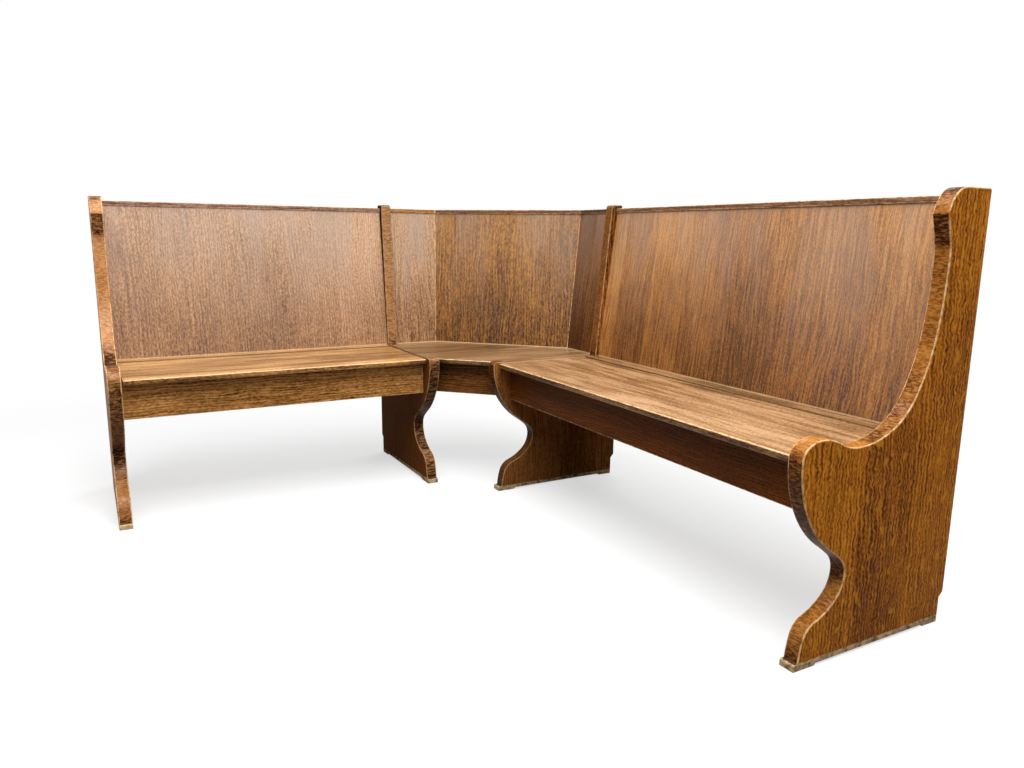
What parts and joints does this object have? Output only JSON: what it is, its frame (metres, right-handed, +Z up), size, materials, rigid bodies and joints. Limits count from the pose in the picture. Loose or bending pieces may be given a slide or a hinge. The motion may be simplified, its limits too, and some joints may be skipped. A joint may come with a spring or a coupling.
{
  "type": "corner bench",
  "caption": "L-shaped settle bench in dark oak with scrolled ends, raked backs, a fixed diagonal corner seat and hinged seat lids over shallow trays.",
  "frame": {"origin": "on the floor, under the centre of the whole bench's box in plan", "axes": "+X runs right along the shorter left bench, +Y runs back along the longer right bench, +Z is up; the corner is at +X +Y"},
  "size_m": [1.6944, 2.0044, 1.004],
  "materials": {
    "oak": "waxed",
    "seat_oak": "worn wax",
    "shoe_oak": "worn wax",
    "inner_wood": "sawn",
    "hinge_steel": "dark patina",
    "zinc_steel": "satin"
  },
  "bodies": {
    "bench": {"left_outer_end": "oak", "left_outer_shoe": "shoe_oak", "left_inner_end": "oak", "left_inner_shoe": "shoe_oak", "left_back_panel": "oak", "left_top_rail": "oak", "left_apron": "oak", "left_hinge_strip": "seat_oak", "left_rear_rail": "inner_wood", "left_tray_floor": "inner_wood", "left_tray_ledges": "inner_wood", "left_seat_bearers": "inner_wood", "left_back_cleats": "inner_wood", "left_hinge_fixed_leaf": "hinge_steel", "left_hinge_pin": "hinge_steel", "right_outer_end": "oak", "right_outer_shoe": "shoe_oak", "right_inner_end": "oak", "right_inner_shoe": "shoe_oak", "right_back_panel": "oak", "right_top_rail": "oak", "right_apron": "oak", "right_hinge_strip": "seat_oak", "right_rear_rail": "inner_wood", "right_tray_floor": "inner_wood", "right_tray_ledges": "inner_wood", "right_seat_bearers": "inner_wood", "right_back_cleats": "inner_wood", "right_hinge_fixed_leaf": "hinge_steel", "right_hinge_pin": "hinge_steel", "corner_seat": "seat_oak", "corner_apron": "oak", "corner_left_panel": "oak", "corner_diagonal_panel": "oak", "corner_right_panel": "oak", "corner_left_rail": "oak", "corner_diagonal_rail": "oak", "corner_right_rail": "oak", "corner_left_rear_rail": "inner_wood", "corner_diagonal_rear_rail": "inner_wood", "corner_right_rear_rail": "inner_wood", "corner_seat_bearers": "inner_wood", "corner_back_cleats": "inner_wood", "corner_joint_blocks": "inner_wood", "joining_bolts": "zinc_steel", "joining_nuts": "zinc_steel", "joining_washers": "zinc_steel"},
    "left_lid": {"left_seat_lid": "seat_oak", "left_hinge_lid_leaf": "hinge_steel"},
    "right_lid": {"right_seat_lid": "seat_oak", "right_hinge_lid_leaf": "hinge_steel"}
  },
  "joints": [
    {"name": "left_lid_hinge", "type": "hinge", "parent": "bench", "child": "left_lid", "pos_m": [-0.32425, 0.85975, 0.46], "axis": [-1, 0, 0], "range_deg": [0, 105]},
    {"name": "right_lid_hinge", "type": "hinge", "parent": "bench", "child": "right_lid", "pos_m": [0.70475, -0.32425, 0.46], "axis": [0, 1, 0], "range_deg": [0, 105]}
  ]
}
